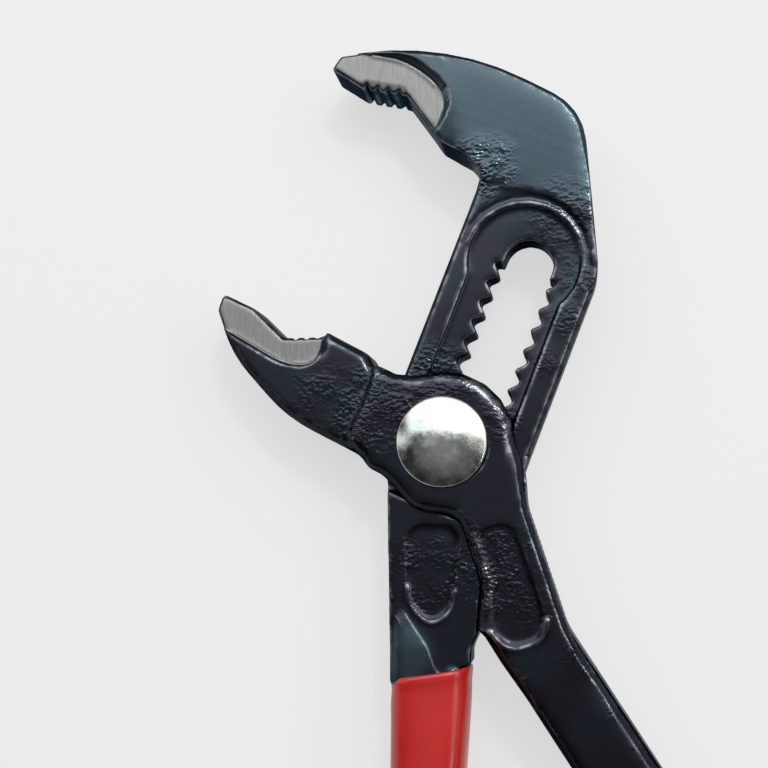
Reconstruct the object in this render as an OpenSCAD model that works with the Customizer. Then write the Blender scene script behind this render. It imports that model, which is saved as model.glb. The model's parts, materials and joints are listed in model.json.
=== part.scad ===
// Water pump pliers with a box joint and a toothed slot, lying flat.
// X runs to the right of the tool, Y towards the head and Z up from the bench.
// The origin is on the pivot axis, on the face that the tool rests on.

/* [Overall] */
// Length from the top of the head to the end of the upper lever's grip
tool_len = 250; // [230:1:280]
// Thickness of the box joint, which is also the thickness of the grips
joint_t = 14; // [13.6:0.1:15]

/* [Upper jaw and head] */
// Height of the head's crown above the pivot axis
head_top = 76; // [74:0.1:79]
// Distance of the upper jaw's tip to the left of the pivot axis
jaw_reach = 22.4; // [20:0.1:24]
// Thickness of the head
head_t = 11.6; // [11:0.1:12.6]
// Thickness over the ground sides of both jaws
jaw_t = 10.3; // [9.6:0.1:10.6]
// Distance between two teeth of the jaws
bite_pitch = 2.15; // [1.9:0.05:2.4]
// Depth of the jaw teeth
bite_depth = 0.75; // [0.5:0.05:0.9]

/* [Shank and slot] */
// Lean of the slotted shank to the right of the Y axis, in degrees
slot_tilt = 21; // [19:0.5:23]
// Width of the shank
shank_w = 27.5; // [26.4:0.1:28.8]
// Thickness of the shank
shank_t = 8.4; // [8:0.1:8.8]
// Width of the slot between the tips of its teeth
slot_w = 9.2; // [9:0.1:9.6]
// Distance between two settings of the pivot
slot_pitch = 4; // [3.8:0.05:4.1]
// Number of steps between the widest and the closest setting
slot_steps = 9; // [7:1:9]
// Depth of the slot's teeth
slot_tooth = 1.7; // [1.3:0.05:1.9]
// Width of the recessed track round the slot
track_w = 18.4; // [17.4:0.1:20]
// Depth of the recessed track on each side
track_depth = 0.8; // [0.4:0.05:1]

/* [Box joint] */
// Radius of the boss round the pivot
boss_r = 13.4; // [12.8:0.1:13.7]
// Play on each side of the shank inside the box
side_play = 0.15; // [0.1:0.01:0.2]
// Radius of the rivet's domed head
rivet_head_r = 8.4; // [8.3:0.05:9]
// Height of the rivet's domed head
rivet_head_h = 2.8; // [2.2:0.1:3.4]
// Radius of the rivet's shaft
rivet_r = 1.7; // [1.6:0.05:1.75]
// Radius of the rivet's flush tail
tail_r = 4.5; // [4:0.1:5]
// Radial running clearance of the pivot's round parts
pin_fit = 0.05; // [0.03:0.01:0.08]
// Angle that the lower lever closes from this pose, in degrees
close_angle = 8; // [6:0.5:8.5]
// Angle that the lower lever opens further from this pose, in degrees
open_angle = 6; // [4:0.5:7]

/* [Lower jaw] */
// Distance of the lower jaw's tip to the left of the pivot axis
lower_reach = 44.3; // [42:0.1:46]
// Height of the lower jaw's tip above the pivot axis
lower_top = 29.3; // [27.6:0.1:30]

/* [Handles and grips] */
// Width of the upper lever's grip where it starts
upper_grip_w = 15.3; // [14.4:0.1:15.8]
// Width of the lower lever's bare handle
handle_w = 13.3; // [12.6:0.1:13.8]
// Thickness of the bare handles
handle_t = 11.6; // [10.8:0.1:12]
// Thickness of the handle inside a grip
core_t = 10.2; // [9.6:0.1:10.6]
// Wall of a grip at its sides
grip_wall = 1.5; // [1.2:0.1:1.8]
// Clearance between a grip and the handle inside it
grip_fit = 0.05; // [0.03:0.01:0.08]
// Length of the lower lever's bare handle below the crotch
bare_len = 46; // [42:1:52]

/* [Hidden] */
$fn = 96;

mid = joint_t / 2;
// Largest turn between two points of a rounded corner, in degrees: small corners and wide bends
arc_step = 15;
bend_step = 6;
wide_bend_r = 18;
// How far a cutting solid runs past what it cuts
over = 1;

// Colours
steel_black = [0.16, 0.18, 0.19];
steel_bright = [0.72, 0.72, 0.70];
steel_core = [0.45, 0.46, 0.47];
grip_red = [0.72, 0.14, 0.11];

// Corner bevels of the forged plates
head_bevel = 1.3;
shank_bevel = 0.9;
box_bevel = 1.6;

// Places across the shank, measured from the pivot axis to the right
slot_t = 2.75;
track_t = 1.7;
shank_mid = 1.95;
shank_left = shank_mid - shank_w / 2;
shank_right = shank_mid + shank_w / 2;
slide_len = slot_pitch * slot_steps;
slot_half = slot_w / 2;
// Lowest point of the slot below the pivot axis, and its room above the last setting
slot_low = 8;
slot_room = 1.2;
track_arch = track_w / 2 + 1.5;
// Along the shank, the boss's highest reach and the length of the ramp up to the head
ramp_start = slide_len + boss_r + 0.6;
ramp_len = 12;

// Sizes inside the box
window_t = shank_t + 2 * side_play;
window_low = mid - window_t / 2;
window_high = mid + window_t / 2;
// Room round the shank at the ends of its swing
swing_play = 0.45;
flange_r = slot_half + 0.9;
core_play = 0.2;
core_fit = 0.06;

// Directions and places
function slot_xy(s, t, tilt = slot_tilt) =
    [s * sin(tilt) + t * cos(tilt), s * cos(tilt) - t * sin(tilt)];
function turned(p, a) = [p.x * cos(a) - p.y * sin(a), p.x * sin(a) + p.y * cos(a)];
function unit(v) = v / norm(v);
function with_r(p, r) = [p.x, p.y, r];
function flat(p) = [p.x, p.y];

// An outline whose corners [x, y, radius] are rounded with arcs
function corner_arc(a, b, c, r) =
    let (
        u = unit(a - b),
        v = unit(c - b),
        half = acos(max(-1, min(1, u * v))) / 2,
        centre = b + unit(u + v) * r / sin(half),
        first = b + u * r / tan(half),
        side = cross(b - a, c - b) > 0 ? 1 : -1,
        start = atan2(first.y - centre.y, first.x - centre.x),
        sweep = 180 - 2 * half,
        n = max(1, ceil(sweep / (r < wide_bend_r ? arc_step : bend_step)))
    )
    [for (k = [0:n]) centre + r * [cos(start + side * sweep * k / n), sin(start + side * sweep * k / n)]];

function rounded(pts) =
    let (n = len(pts))
    [for (i = [0:n - 1])
        let (
            before = flat(pts[(i + n - 1) % n]),
            here = flat(pts[i]),
            after = flat(pts[(i + 1) % n])
        )
        each pts[i][2] > 0 ? corner_arc(before, here, after, pts[i][2]) : [here]];

// The same corners moved inwards, for outlines that run anticlockwise
least_r = 0.25;
function left_normal(v) = unit([-v.y, v.x]);
function inset_r(r, d, outer) = r == 0 ? 0 : outer ? max(least_r, r - d) : r + d;
function inset(pts, d) =
    let (n = len(pts))
    [for (i = [0:n - 1])
        let (
            before = flat(pts[i]) - flat(pts[(i + n - 1) % n]),
            after = flat(pts[(i + 1) % n]) - flat(pts[i]),
            n1 = left_normal(before),
            n2 = left_normal(after)
        )
        with_r(
            flat(pts[i]) + d * (n1 + n2) / (1 + n1 * n2),
            inset_r(pts[i][2], d, cross(before, after) > 0)
        )];

function at_z(pts, z) = [for (p = pts) [p.x, p.y, z]];

// A closed skin over rings that all have the same number of points
module skin(rings) {
    n = len(rings[0]);
    last = len(rings) - 1;
    pts = [for (r = rings) each r];
    sides = [
        for (k = [0:last - 1], i = [0:n - 1])
            let (
                a = k * n + i,
                b = k * n + (i + 1) % n
            )
            each [[a, a + n, b + n], [a, b + n, b]]
    ];
    first_cap = [for (i = [0:n - 1]) i];
    last_cap = [for (i = [n - 1:-1:0]) last * n + i];
    polyhedron(pts, concat(sides, [first_cap, last_cap]), convexity = 6);
}

// A flat plate centred on the tool's middle plane, with bevelled edges
module plate(outline, t, bevel) {
    pts = rounded(outline);
    inner = rounded(inset(outline, bevel));
    skin([
        at_z(inner, mid - t / 2),
        at_z(pts, mid - t / 2 + bevel),
        at_z(pts, mid + t / 2 - bevel),
        at_z(inner, mid + t / 2)
    ]);
}

// A square-edged cutter or blank with a rounded outline
module prism(outline, low, high) {
    translate([0, 0, low])
        linear_extrude(height = high - low)
            polygon(rounded(outline));
}

// The same recess in the front and the back of a plate, below its faces
module both_faces(outline, t, over_t) {
    prism(outline, mid + t / 2, mid + over_t / 2 + over);
    prism(outline, mid - over_t / 2 - over, mid - t / 2);
}

// V grooves that run through the tool and leave teeth on a jaw's face
module bite_teeth(start, direction, count) {
    side = [direction.y, -direction.x];
    for (k = [0:count - 1]) {
        at = start + direction * bite_pitch * k;
        groove = [
            at + direction * bite_pitch / 2 + side * bite_depth,
            at - side * bite_depth,
            at - direction * bite_pitch / 2 + side * bite_depth
        ];
        translate([0, 0, -over])
            linear_extrude(height = joint_t + 2 * over)
                polygon(groove);
    }
}

// Handles: a straight start, one bend and a straight end, in plan.
// Angles are measured from straight down, positive towards the right.
function handle_dir(path, u) =
    let (bend = max(0, min(u - path[3], abs(path[5] - path[2]) * PI / 180 * path[4])))
    path[2] + sign(path[5] - path[2]) * bend / path[4] * 180 / PI;
function handle_pos(path, u) =
    let (
        start = [path[0], path[1]],
        first = min(u, path[3]),
        a1 = handle_dir(path, u),
        turn = sign(path[5] - path[2]) * path[4],
        bend_len = abs(path[5] - path[2]) * PI / 180 * path[4],
        past = max(0, u - path[3] - bend_len)
    )
    start + first * [sin(path[2]), -cos(path[2])]
        + turn * [cos(path[2]) - cos(a1), sin(path[2]) - sin(a1)]
        + past * [sin(a1), -cos(a1)];

// A rounded rectangle across a handle: width, thickness and corner radius
corner_points = 3;
function section(w, t, r) =
    [for (q = [0:3], k = [0:corner_points])
        let (
            a = q * 90 + k * 90 / corner_points,
            sx = q == 0 || q == 3 ? 1 : -1,
            sy = q < 2 ? 1 : -1
        )
        [sx * (w / 2 - r) + r * cos(a), sy * (t / 2 - r) + r * sin(a)]];
function handle_ring(path, u, w, t, r) =
    let (
        at = handle_pos(path, u),
        a = handle_dir(path, u)
    )
    [for (p = section(w, t, r)) [at.x + p.x * cos(a), at.y + p.x * sin(a), mid + p.y]];

// Upper lever's handle: where its path starts, how it leans, bends and leans below the bend
upper_start = [-1.9, -26];
upper_lean = -1.8;
upper_straight = 62;
upper_bend_r = 300;
upper_end_lean = -7;
upper_path = [upper_start.x, upper_start.y, upper_lean, upper_straight, upper_bend_r, upper_end_lean];
upper_end_y = head_top - tool_len;
upper_bend_len = abs(upper_end_lean - upper_lean) * PI / 180 * upper_bend_r;
upper_bend_end = upper_straight + upper_bend_len;
upper_len = upper_bend_end + (handle_pos(upper_path, upper_bend_end).y - upper_end_y) / cos(upper_end_lean);
upper_grip_start = 15.2;

// Lower lever's handle, in the same way, which ends level with the upper one
lower_start = [17.2, -37.25];
lower_lean = 33.5;
lower_straight = 34;
lower_bend_r = 190;
lower_end_lean = 12;
lower_path = [lower_start.x, lower_start.y, lower_lean, lower_straight, lower_bend_r, lower_end_lean];
lower_bend_len = abs(lower_end_lean - lower_lean) * PI / 180 * lower_bend_r;
lower_bend_end = lower_straight + lower_bend_len;
lower_len = lower_bend_end + (handle_pos(lower_path, lower_bend_end).y - upper_end_y) / cos(lower_end_lean);
lower_grip_start = bare_len;
// The bare handle thins from the box's thickness to its own
bare_taper = [6, 32];
function bare_t(u) =
    joint_t - 0.1 - (joint_t - 0.1 - handle_t)
        * max(0, min(1, (u - bare_taper[0]) / (bare_taper[1] - bare_taper[0])));

// Width of a grip along its handle: it narrows from its start to its slim part
grip_slim_w = 12.6;
grip_taper = 40;
function grip_width(u, start, w) =
    w + (min(w, grip_slim_w) - w) * min(1, max(0, (u - start) / grip_taper));
lower_grip_w = handle_w + 0.9;
core_edge = 2.4;
grip_edge = 5.4;
handle_edge = 3;
end_wall = 3;
// The grip's end is drawn in over this length
end_round = 6;
station = 12;
function stations(from, to) =
    let (n = max(2, ceil((to - from) / station)))
    [for (k = [0:n]) from + (to - from) * k / n];

// The steel inside a grip, from where it starts to short of the grip's end
module handle_core(path, from, start, to, w) {
    skin([for (u = stations(from, to - end_wall))
        handle_ring(path, u, grip_width(u, start, w) - 2 * grip_wall - 2 * grip_fit,
            core_t - 2 * grip_fit, core_edge)]);
}

// A dipped grip: a sleeve with a closed, rounded end
module grip_sleeve(path, start, to, w) {
    inner_end = to - end_wall + grip_fit;
    lip = 0.8;
    inside = [for (u = stations(start, inner_end))
        handle_ring(path, u, grip_width(u, start, w) - 2 * grip_wall, core_t, core_edge)];
    outside = [for (u = stations(start + lip, to - end_round))
        handle_ring(path, u, grip_width(u, start, w), joint_t, grip_edge)];
    tip = [for (k = [1:3])
        let (
            a = k * 25,
            u = to - end_round + end_round * sin(a) / sin(75),
            drawn = 2 * grip_edge * 0.9 * (1 - cos(a))
        )
        handle_ring(path, u, grip_width(u, start, w) - drawn, joint_t - drawn, grip_edge - drawn / 4)];
    mouth = [handle_ring(path, start, grip_width(start, start, w) - lip, joint_t - lip, grip_edge - lip / 2)];
    turned_in = [for (k = [len(inside) - 1:-1:0]) inside[k]];
    skin(concat(turned_in, mouth, outside, tip));
}

// Upper lever in plan, anticlockwise from the top of the jaw's tip
jaw_flat_x = 5.9 - jaw_reach;
bite_corner = [-7.6, head_top - 8.5];
jaw_toe = [-0.9, head_top - 18];
neck_corner = [4.7, head_top - 21.3];
crown = [0.6, head_top + 1.8];
shoulder = [26.2, head_top - 12.6];
upper_tip = [-jaw_reach, head_top - 2.5];
jaw_flat = [jaw_flat_x, head_top - 6.5];
hip_s = 39.6;
neck_s = neck_corner.y / cos(slot_tilt) - 8;
head_points = [
    [upper_tip.x + 1.8, upper_tip.y + 2.6, 1],
    with_r(upper_tip, 0.5),
    with_r(jaw_flat, 2),
    with_r(bite_corner, 0.6),
    with_r(jaw_toe, 1),
    with_r(neck_corner, 1)
];
crown_points = [
    with_r(slot_xy(hip_s, shank_right), 10),
    with_r(shoulder, 12),
    with_r(crown, 55)
];
knee_left = slot_xy(0, shank_left);
knee_right = slot_xy(-21, shank_right);
hip_right = [knee_right.x - 0.7, knee_right.y - 9.6];
upper_core_w = upper_grip_w - 2 * grip_wall - 2 * grip_fit;
// The blade stops just short of the grip and runs on inside it as a narrower tongue
blade_end = handle_pos(upper_path, upper_grip_start - 0.5);
tongue_end = handle_pos(upper_path, upper_grip_start + 8);
tongue_half = upper_core_w / 2 - 0.8;
bare_left = blade_end.x - upper_grip_w / 2 + 0.2;
bare_right = blade_end.x + upper_grip_w / 2 - 0.2;
blade_outline = concat(
    head_points,
    [
        with_r(slot_xy(neck_s, shank_left), 3),
        with_r(knee_left, 14),
        [bare_left, blade_end.y, 0],
        [blade_end.x - tongue_half, blade_end.y, 0],
        [tongue_end.x - tongue_half, tongue_end.y, 0],
        [tongue_end.x + tongue_half, tongue_end.y, 0],
        [blade_end.x + tongue_half, blade_end.y, 0],
        [bare_right, blade_end.y, 0],
        [bare_right, blade_end.y + 3, 3],
        with_r(hip_right, 3),
        with_r(knee_right, 14)
    ],
    crown_points
);
head_outline = concat(
    head_points,
    [
        with_r(slot_xy(neck_s, shank_left), 3),
        with_r(slot_xy(hip_s - 6, shank_left), 0),
        with_r(slot_xy(hip_s - 6, shank_right), 0)
    ],
    crown_points
);
// The head stands this little proud of the blade all round
head_skin = 0.04;
// The head's blank is this much thicker on each face before the wedge trims it
head_trim = 0.4;
// The ground side of the upper jaw
upper_ground = [
    [upper_tip.x - 2, head_top - 5.5, 0],
    [jaw_flat_x, head_top - 12.5, 0],
    [bite_corner.x + 2.9, head_top - 17.8, 0],
    [bite_corner.x + 6, head_top - 15.2, 1],
    [bite_corner.x + 8.1, head_top - 9, 3],
    [bite_corner.x + 0.6, head_top - 2.1, 12],
    [jaw_flat_x - 1.1, head_top + 0.4, 10],
    [upper_tip.x - 2, head_top + 0.5, 0]
];
// The bare left handle is thick only to the left of this slanting ridge
ridge_top = [-12, -24];
ridge_low = [0.4, -42];

// Shallow plain panels on the blade and on the box, with rounded lower ends
panel_depth = 0.5;
blade_panel = [
    [-7, -15, 3],
    [-6.4, -29.6, 2],
    [-2.4, -33.6, 3],
    [1.6, -30.6, 2],
    [3.2, -15, 3]
];

// The toothed slot, drawn up along Y from the pivot axis, clear by a given gap
function slot_side(side, gap, from, to) =
    [for (k = [from:to])
        let (s = (k - 0.125) * slot_pitch)
        each [
            [side * (slot_half - gap) + slot_t, s + slot_pitch * 0.45],
            [side * (slot_half - gap) + slot_t, s + slot_pitch * 0.55],
            [side * (slot_half + slot_tooth - gap) + slot_t, s + slot_pitch * 0.95],
            [side * (slot_half + slot_tooth - gap) + slot_t, s + slot_pitch * 1.05]
        ]];
function reversed(list) = [for (k = [len(list) - 1:-1:0]) list[k]];
tooth_first = -2;
tooth_last = slot_steps - 1;
module toothed_slot(gap, low, high) {
    right = slot_side(1, gap, tooth_first, tooth_last);
    left = slot_side(-1, gap, tooth_first, tooth_last);
    rotate(-slot_tilt)
        translate([0, 0, low])
            linear_extrude(height = high - low)
                union() {
                    polygon(concat(right, reversed(left)));
                    translate([slot_t, slide_len + slot_room])
                        circle(r = slot_half - gap);
                    translate([slot_t - slot_half + gap, slide_len - slot_pitch])
                        square([slot_w - 2 * gap, slot_pitch + slot_room]);
                }
}

module track_cut(low, high) {
    rotate(-slot_tilt)
        translate([0, 0, low])
            linear_extrude(height = high - low)
                union() {
                    translate([track_t - track_w / 2, -slot_low - 4])
                        square([track_w, slide_len + slot_room + slot_low + 4]);
                    translate([track_t, slide_len + slot_room])
                        circle(r = track_arch);
                }
}

// Side view of the head: the wedge that lifts it from the shank's thickness
module head_wedge() {
    back = 6;
    rise = (head_t - shank_t) / 2;
    start_half = shank_t / 2 - rise * back / ramp_len;
    end_half = head_t / 2;
    end_s = ramp_start + ramp_len;
    wedge = [
        [ramp_start - back, mid - start_half],
        [end_s, mid - end_half],
        [2 * head_top, mid - end_half],
        [2 * head_top, mid + end_half],
        [end_s, mid + end_half],
        [ramp_start - back, mid + start_half]
    ];
    rotate(-slot_tilt)
        translate([head_top, 0, 0])
            rotate([90, 0, -90])
                linear_extrude(height = 2 * head_top)
                    polygon([for (p = wedge) [-p.x, p.y]]);
}

// Bevels along the four straight edges of the shank
module shank_bevels() {
    from_s = 3;
    reach = shank_bevel + over;
    corner = [[-reach, over], [over, -reach], [over, over]];
    rotate(-slot_tilt)
        for (face = [-1, 1], edge = [[shank_left, -1, neck_s], [shank_right, 1, hip_s]])
            translate([edge[0], edge[2] - from_s, mid + face * shank_t / 2])
                rotate([90, 0, 0])
                    linear_extrude(height = edge[2] - 2 * from_s)
                        polygon([for (p = corner) [edge[1] * p.x, face * p.y]]);
}

module upper_lever() {
    color(steel_black)
    difference() {
        union() {
            prism(blade_outline, mid - shank_t / 2, mid + shank_t / 2);
            intersection() {
                plate(inset(head_outline, -head_skin), head_t + 2 * head_trim, head_bevel + head_trim);
                head_wedge();
            }
            difference() {
                skin([for (u = [2, upper_grip_start - 0.2])
                    handle_ring(upper_path, u, upper_grip_w - 0.4, handle_t, handle_edge)]);
                prism([
                    with_r(ridge_top, 0),
                    with_r(ridge_low, 0),
                    [ridge_low.x + 2 * upper_grip_w, ridge_low.y, 0],
                    [ridge_low.x + 2 * upper_grip_w, 0, 0],
                    [ridge_top.x, 0, 0]
                ], -over, joint_t + over);
            }
            handle_core(upper_path, upper_grip_start + grip_fit, upper_grip_start, upper_len, upper_grip_w);
        }
        toothed_slot(0, -over, joint_t + over);
        shank_bevels();
        track_cut(mid + shank_t / 2 - track_depth, joint_t + over);
        track_cut(-over, mid - shank_t / 2 + track_depth);
        both_faces(upper_ground, jaw_t, head_t);
        both_faces(blade_panel, shank_t - 2 * panel_depth, shank_t);
        bite_teeth(jaw_flat + unit(bite_corner - jaw_flat) * bite_pitch / 2, unit(bite_corner - jaw_flat), 4);
    }
}

// Lower lever in plan
lower_tip = [-lower_reach + 1.1, lower_top];
lower_bite = [13.4 - lower_reach, lower_top - 8.95];
bite_end = [lower_bite.x + 8, lower_bite.y + 0.1];
bite_dir = unit(lower_bite - bite_end);
jaw_outline = [
    with_r(lower_tip, 0.8),
    [-lower_reach, lower_top - 3.1, 1.5],
    [3.2 - lower_reach, lower_top - 12.1, 25],
    [-30.2, 5.1, 30],
    [-14.8, -2.8, 0],
    [-11.5, 0, 0],
    [-11.8, 11.6, 0],
    [-14.5, 17, 1.4],
    [bite_end.x + 0.5, bite_end.y + 0.8, 0],
    with_r(bite_end, 0),
    with_r(lower_bite, 0.6),
    [7.3 - lower_reach, lower_top - 3, 2]
];
lower_ground = [
    [-lower_reach - 2, lower_top + 2, 0],
    [-lower_reach - 2, lower_top - 4.9, 0],
    [7.8 - lower_reach, lower_top - 10.6, 6],
    [lower_bite.x + 0.3, lower_bite.y - 5.2, 6],
    [bite_end.x - 2, bite_end.y - 5.6, 3],
    [bite_end.x - 0.5, bite_end.y - 1.6, 0],
    [bite_end.x - 0.5, bite_end.y + 2, 0]
];
crotch = [7.3, -34.6];
// The box ends a little way down the lower handle
box_end = handle_pos(lower_path, 9);
box_across = [cos(lower_lean), sin(lower_lean)];
box_end_half = handle_w / 2 - 0.3;
// Where the box's sides run out into the handle's sides
box_heel = handle_pos(lower_path, -1.6) - (handle_w / 2 + 0.2) * box_across;
box_hip = handle_pos(lower_path, 0.4) + (handle_w / 2 - 0.2) * box_across;
boss_turn = 6;
box_outline = concat(
    [for (k = [0:boss_turn]) with_r(boss_r * [cos(110 * k / boss_turn), sin(110 * k / boss_turn)], 0)],
    [
        [-9, 13, 2],
        [-13.2, 15, 1],
        [-15.5, 8.4, 0],
        [-17.9, 3.2, 3],
        [-18.7, 0.1, 3],
        [-9.8, -7.5, 4],
        [-5.5, -12.5, 5],
        [2.7, -13.5, 4],
        [6.7, -25.1, 20],
        [7.5, -30.9, 8],
        with_r(crotch, 3),
        with_r(box_heel, 8),
        with_r(box_end - box_end_half * box_across, 0),
        with_r(box_end + box_end_half * box_across, 0),
        with_r(box_hip, 12),
        [15.3, -11.6, 6],
        [14.8, -4, 4]
    ]
);
// The room in the box that the shank sweeps, between its ends of swing
closed_tilt = slot_tilt - close_angle;
opened_tilt = slot_tilt + open_angle;
room_left = shank_left - swing_play;
room_right = shank_right + swing_play;
// Where the left edges of the opened and the closed shank cross
room_waist = [for (a = [(opened_tilt + closed_tilt) / 2])
    room_left / cos((opened_tilt - closed_tilt) / 2) * [cos(a), -sin(a)]][0];
knee_room = turned(knee_right, close_angle) + [swing_play, 0];
hip_room = turned(hip_right, close_angle) + [swing_play, 0];
heel_room = turned([bare_right, blade_end.y], close_angle) + [swing_play, 0];
room_far = 70;
room_outline = [
    with_r(slot_xy(room_far, room_left, closed_tilt), 0),
    with_r(room_waist, 0),
    with_r(slot_xy(-room_far, room_left, opened_tilt), 0),
    [heel_room.x, -2 * room_far, 0],
    with_r(heel_room, 0),
    with_r(hip_room, 3),
    with_r(knee_room, 6),
    with_r(slot_xy(room_far, room_right, closed_tilt), 0)
];
panel_outline = [
    [6.2, -16.4, 2],
    [9.2, -25.5, 0],
    [10, -31.5, 0],
    [10.4, -36.4, 3],
    [16.6, -38.6, 4],
    [18.8, -32.2, 3],
    [15, -21, 0],
    [12.4, -14, 3]
];

module lower_lever() {
    core_centre = slot_xy(0, slot_t);
    color(steel_black)
    difference() {
        union() {
            plate(jaw_outline, head_t, head_bevel);
            plate(box_outline, joint_t, box_bevel);
            skin([for (u = stations(0, lower_grip_start))
                handle_ring(lower_path, u, handle_w, bare_t(u), handle_edge)]);
            handle_core(lower_path, lower_grip_start - 1, lower_grip_start, lower_len, lower_grip_w);
        }
        prism(room_outline, window_low, window_high);
        both_faces(lower_ground, jaw_t, head_t);
        both_faces(panel_outline, joint_t - 2 * panel_depth, joint_t);
        bite_teeth(bite_end + bite_dir * (bite_pitch / 2 + 0.4), bite_dir, 3);
        translate([core_centre.x, core_centre.y, mid])
            cylinder(r = flange_r + pin_fit, h = joint_t);
        translate([0, 0, -over])
            cylinder(r = rivet_r + pin_fit, h = joint_t);
        rotate_extrude()
            polygon(tail_profile(pin_fit));
    }
}

// The rivet's countersunk tail, widened by a clearance
tail_h = 2.3;
tail_apex = tail_h * tail_r / (tail_r - rivet_r);
function tail_profile(gap) = [
    [0, -gap],
    [tail_r + 2 * gap, -gap],
    [0, tail_apex + gap]
];

module pivot_rivet() {
    seat = joint_t + pin_fit;
    rim = 0.6;
    crown_h = rivet_head_h - rim;
    ball = (rivet_head_r * rivet_head_r + crown_h * crown_h) / (2 * crown_h);
    spread = asin(rivet_head_r / ball);
    dome_steps = 12;
    color(steel_bright)
    union() {
        rotate_extrude()
            polygon(concat(
                [[0, seat], [rivet_head_r, seat]],
                [for (k = [dome_steps:-1:0])
                    let (a = spread * k / dome_steps)
                    [ball * sin(a), seat + rivet_head_h - ball + ball * cos(a)]]
            ));
        cylinder(r = rivet_r, h = seat + rim);
        rotate_extrude()
            polygon(tail_profile(0));
    }
}

// The core fits the slot's plain width while open and its teeth while closed
module locking_core() {
    low = window_low + core_fit;
    high = window_high;
    centre = slot_xy(0, slot_t);
    low_end = slot_pitch * 1.6;
    color(steel_core)
    difference() {
        union() {
            intersection() {
                translate([0, 0, low])
                    linear_extrude(height = high - low)
                        core_strip(low_end, 0);
                translate([0, 0, low])
                    linear_extrude(height = high - low)
                        core_strip(low_end, -open_angle);
                rotate(close_angle)
                    toothed_slot(core_play, low, high);
                translate([centre.x, centre.y, low])
                    cylinder(r = flange_r - core_play, h = high - low);
            }
            translate([centre.x, centre.y, high - core_fit])
                cylinder(r = flange_r, h = joint_t - high);
        }
        translate([0, 0, -over])
            cylinder(r = rivet_r + pin_fit, h = joint_t + 2 * over);
    }
}
// A strip that slides freely along the slot, with a round upper end, turned by an angle
module core_strip(low_end, angle) {
    half = slot_half - core_play;
    rotate(angle - slot_tilt)
        union() {
            translate([slot_t - half, -low_end])
                square([2 * half, low_end]);
            translate([slot_t, 0])
                circle(r = half);
        }
}

module upper_grip() {
    color(grip_red)
        grip_sleeve(upper_path, upper_grip_start, upper_len, upper_grip_w);
}

module lower_grip() {
    color(grip_red)
        grip_sleeve(lower_path, lower_grip_start, lower_len, lower_grip_w);
}

upper_lever();
lower_lever();
pivot_rivet();
locking_core();
upper_grip();
lower_grip();
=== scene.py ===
# %% [markdown]
# # Water pump pliers
#
# A pair of forged pliers with a box joint lies flat on a pale table. The jaws are set wide
# by sliding the rivet up a toothed slot, and both handles are dipped in red plastic.
#
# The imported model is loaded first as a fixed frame. Every piece made below sits where the
# frame says and moves with one of its bodies, so nothing has to be fitted by eye.

# %% Load the frame
import json
import math

import bmesh
import bpy
from mathutils import Matrix, Vector

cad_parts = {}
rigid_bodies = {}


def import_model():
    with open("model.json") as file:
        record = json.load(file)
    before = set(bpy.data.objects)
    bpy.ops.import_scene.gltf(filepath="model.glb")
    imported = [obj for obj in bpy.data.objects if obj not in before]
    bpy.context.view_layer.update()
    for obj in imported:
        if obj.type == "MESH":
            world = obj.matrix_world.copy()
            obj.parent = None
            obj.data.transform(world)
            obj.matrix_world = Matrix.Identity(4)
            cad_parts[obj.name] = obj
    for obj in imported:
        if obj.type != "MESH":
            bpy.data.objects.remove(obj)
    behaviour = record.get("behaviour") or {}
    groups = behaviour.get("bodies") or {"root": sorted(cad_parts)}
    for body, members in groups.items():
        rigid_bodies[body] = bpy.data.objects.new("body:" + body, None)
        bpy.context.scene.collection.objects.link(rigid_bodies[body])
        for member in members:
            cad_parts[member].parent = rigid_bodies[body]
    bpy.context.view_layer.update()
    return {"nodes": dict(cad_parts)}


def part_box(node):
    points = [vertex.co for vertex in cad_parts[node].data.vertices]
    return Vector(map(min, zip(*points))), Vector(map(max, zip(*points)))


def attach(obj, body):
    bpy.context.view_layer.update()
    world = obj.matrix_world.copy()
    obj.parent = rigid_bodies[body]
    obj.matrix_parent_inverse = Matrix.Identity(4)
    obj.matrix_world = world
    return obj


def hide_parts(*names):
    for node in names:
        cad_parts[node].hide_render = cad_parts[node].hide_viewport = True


for old in list(bpy.data.objects):
    bpy.data.objects.remove(old)

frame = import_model()

# %% [markdown]
# ## Camera
#
# The tool is seen almost straight from above, with the camera a little to the right and
# leaning towards the head. A camera that looks straight down has no clear "up", so its
# three axes are worked out here: backwards from the view, rightwards level with the table,
# and upwards across both. A small shift puts the tool where it stands in the picture.

# %% Camera
eye = Vector((0.02399, -0.01593, 0.20402))
looked_at = Vector((-0.0022, 0.0040, 0.0140))
eye_roll = math.radians(0.32)
picture_px = 768
focal_px = 1050

backwards = (eye - looked_at).normalized()
rightwards = Vector((0, 1, 0)).cross(backwards).normalized()
upwards = backwards.cross(rightwards)
level_view = Matrix((rightwards, upwards, backwards)).transposed()
facing = level_view @ Matrix.Rotation(eye_roll, 3, "Z")

camera_data = bpy.data.cameras.new("camera")
camera_data.sensor_width = 36
camera_data.lens = camera_data.sensor_width * focal_px / picture_px
camera_data.shift_x = -0.0599
camera_data.shift_y = 0.0469
camera_data.clip_start = 0.01
camera = bpy.data.objects.new("camera", camera_data)
camera.matrix_world = Matrix.Translation(eye) @ facing.to_4x4()
bpy.context.scene.collection.objects.link(camera)
bpy.context.scene.camera = camera
bpy.context.scene.view_settings.view_transform = "Standard"
print("camera lens", round(camera_data.lens, 2), "mm")

# %% [markdown]
# ## Table
#
# The table is a plain pale sheet. To the camera and to mirror-like steel it shows mostly as
# an even glow of its own, so it stays pale all over without more light on the tool. The rest
# is an ordinary matt surface, which still takes the tool's shadow. A finish is a tree of
# nodes, so the helpers that make nodes and links come first; every finish below uses them.

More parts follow.
